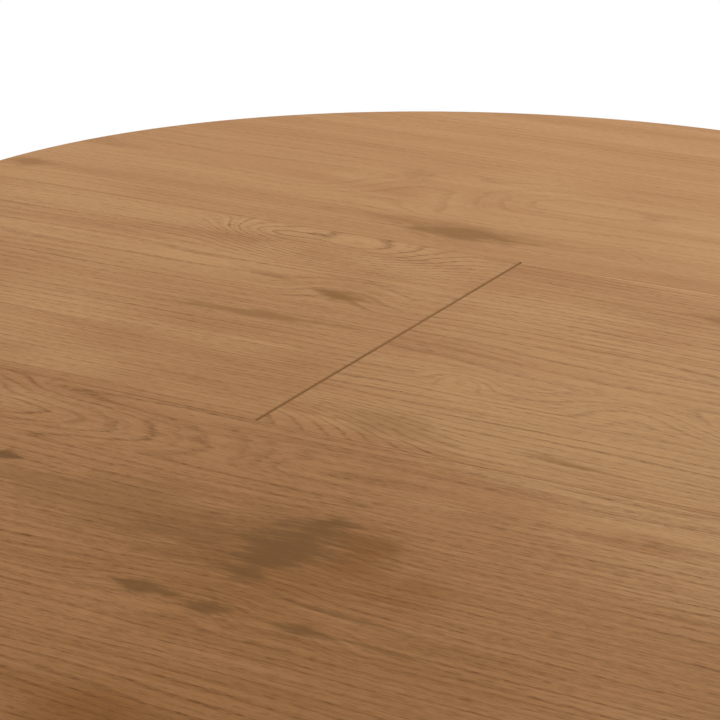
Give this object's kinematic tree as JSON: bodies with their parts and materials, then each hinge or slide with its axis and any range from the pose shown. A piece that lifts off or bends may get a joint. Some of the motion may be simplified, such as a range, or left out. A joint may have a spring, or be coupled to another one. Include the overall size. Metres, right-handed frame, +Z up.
{
  "type": "extending dining table",
  "caption": "Round oak dining table pulled open over a folding butterfly leaf, with sliding half tops, swing arms and turned legs.",
  "frame": {"origin": "on the floor below the middle of the leaf", "axes": "+X along the way the far half pulls out, +Y to the left of a person at the near end, +Z up"},
  "size_m": [1.7498, 1.25, 0.76],
  "materials": {
    "oak_veneer": "matt lacquered oak veneer",
    "oak_legs": "matt lacquered solid oak",
    "oak_aprons": "matt lacquered solid oak",
    "oak_blocks": "plain sawn beech or oak, unfinished",
    "channel_aluminium": "anodised extrusion",
    "white_nylon": "moulded nylon",
    "grey_caps": "moulded plastic",
    "coated_steel": "powder coated steel strip",
    "bright_steel": "zinc plated",
    "hinge_brass": "plain brass",
    "rest_rubber": "soft rubber strip",
    "glide_felt": "pressed felt"
  },
  "bodies": {
    "root": {"channel_end_caps": "grey_caps", "channel_screws": "bright_steel", "corner_block_far_left": "oak_blocks", "corner_block_far_right": "oak_blocks", "corner_block_near_left": "oak_blocks", "corner_block_near_right": "oak_blocks", "cross_beam_far": "oak_blocks", "cross_beam_near": "oak_blocks", "end_apron_far": "oak_aprons", "end_apron_near": "oak_aprons", "frame_pins": "bright_steel", "glide_far_left": "glide_felt", "glide_far_right": "glide_felt", "glide_near_left": "glide_felt", "glide_near_right": "glide_felt", "leaf_rest_pads": "rest_rubber", "leg_bolts": "bright_steel", "leg_far_left": "oak_legs", "leg_far_right": "oak_legs", "leg_near_left": "oak_legs", "leg_near_right": "oak_legs", "leg_nuts": "bright_steel", "pinion_axle": "bright_steel", "pivot_plate_far": "coated_steel", "pivot_plate_near": "coated_steel", "plate_screws": "bright_steel", "side_apron_left": "oak_aprons", "side_apron_right": "oak_aprons", "slide_channel_left": "channel_aluminium", "slide_channel_right": "channel_aluminium", "travel_stops": "bright_steel"},
    "far_half": {"rack_far": "white_nylon", "rail_far_left": "channel_aluminium", "rail_far_right": "channel_aluminium", "rail_screws_far": "bright_steel", "top_far": "oak_veneer"},
    "near_half": {"rack_near": "white_nylon", "rail_near_left": "channel_aluminium", "rail_near_right": "channel_aluminium", "rail_screws_near": "bright_steel", "top_near": "oak_veneer"},
    "sync_pinion": {"pinion": "white_nylon"},
    "main_arms": {"main_arm_far": "coated_steel", "main_arm_near": "coated_steel"},
    "idle_arms": {"idle_arm_far": "coated_steel", "idle_arm_near": "coated_steel"},
    "right_flap": {"carrier_screws": "bright_steel", "hinge_right_far": "hinge_brass", "hinge_right_middle": "hinge_brass", "hinge_right_near": "hinge_brass", "leaf_carrier_far": "coated_steel", "leaf_carrier_near": "coated_steel", "leaf_flap_right": "oak_veneer", "leaf_pins": "bright_steel"},
    "left_flap": {"hinge_left_far": "hinge_brass", "hinge_left_middle": "hinge_brass", "hinge_left_near": "hinge_brass", "leaf_flap_left": "oak_veneer"}
  },
  "joints": [
    {"name": "far_slide", "type": "slide", "parent": "root", "child": "far_half", "axis": [1, 0, 0], "range_m": [0, 0.06]},
    {"name": "near_slide", "type": "slide", "parent": "root", "child": "near_half", "axis": [-1, 0, 0], "range_m": [0, 0.06]},
    {"name": "pinion_spin", "type": "hinge", "parent": "root", "child": "sync_pinion", "pos_m": [0, 0.4, 0.728], "axis": [0, 0, 1], "range_deg": [0, 382]},
    {"name": "leaf_swing", "type": "hinge", "parent": "root", "child": "main_arms", "pos_m": [0, -0.15467, 0.63309], "axis": [-1, 0, 0], "range_deg": [0, 145]},
    {"name": "idle_swing", "type": "hinge", "parent": "root", "child": "idle_arms", "pos_m": [0, 0.03033, 0.63309], "axis": [-1, 0, 0], "range_deg": [0, 145]},
    {"name": "leaf_level", "type": "hinge", "parent": "main_arms", "child": "right_flap", "pos_m": [0, -0.3, 0.717], "axis": [1, 0, 0], "range_deg": [0, 145]},
    {"name": "leaf_fold", "type": "hinge", "parent": "right_flap", "child": "left_flap", "pos_m": [0, 0, 0.7603], "axis": [1, 0, 0], "range_deg": [0, 180]}
  ],
  "couplings": [
    {"joint": "near_slide", "follows": "far_slide", "ratio": 1},
    {"joint": "pinion_spin", "follows": "far_slide", "rad_per_m": 111.11},
    {"joint": "idle_swing", "follows": "leaf_swing", "ratio": 1},
    {"joint": "leaf_level", "follows": "leaf_swing", "ratio": 1},
    {"joint": "leaf_fold", "follows": "leaf_swing", "ratio": 1.2414}
  ]
}
